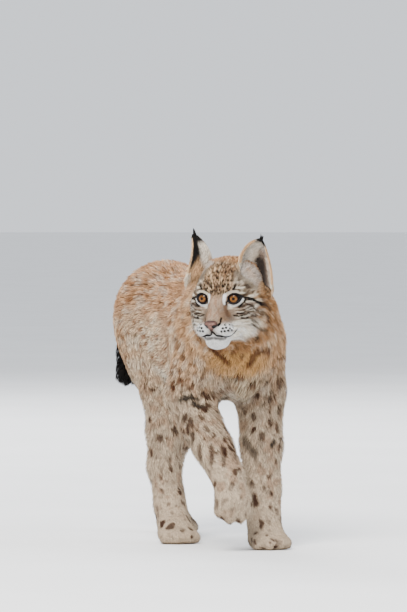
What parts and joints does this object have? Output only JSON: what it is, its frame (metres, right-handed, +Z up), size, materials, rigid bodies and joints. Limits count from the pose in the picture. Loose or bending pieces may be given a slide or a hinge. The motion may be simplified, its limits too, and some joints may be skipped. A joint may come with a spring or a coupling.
{
  "type": "eurasian lynx",
  "caption": "life-size still model of a young eurasian lynx in winter coat, walking slowly with its head turned to the side and one forepaw lifted",
  "frame": {"origin": "on the floor, below the middle of the bounding box", "axes": "+X the way the trunk heads, +Y the animal's left, +Z up; the head is turned to the animal's right"},
  "size_m": [0.6302, 0.2098, 0.5111],
  "materials": {
    "coat": "tan winter fur with darker brown spots, paler below, black on the tail tip and the ear tufts",
    "eyes": "glossy amber with a small round black pupil",
    "nose": "satin pinkish brown"
  },
  "bodies": {
    "root": {"head": "coat", "neck": "coat", "torso": "coat", "tail": "coat", "foreleg_l": "coat", "foreleg_r": "coat", "hindleg_l": "coat", "hindleg_r": "coat", "ear_l": "coat", "ear_r": "coat", "eye_l": "eyes", "eye_r": "eyes", "nose": "nose"}
  },
  "joints": []
}
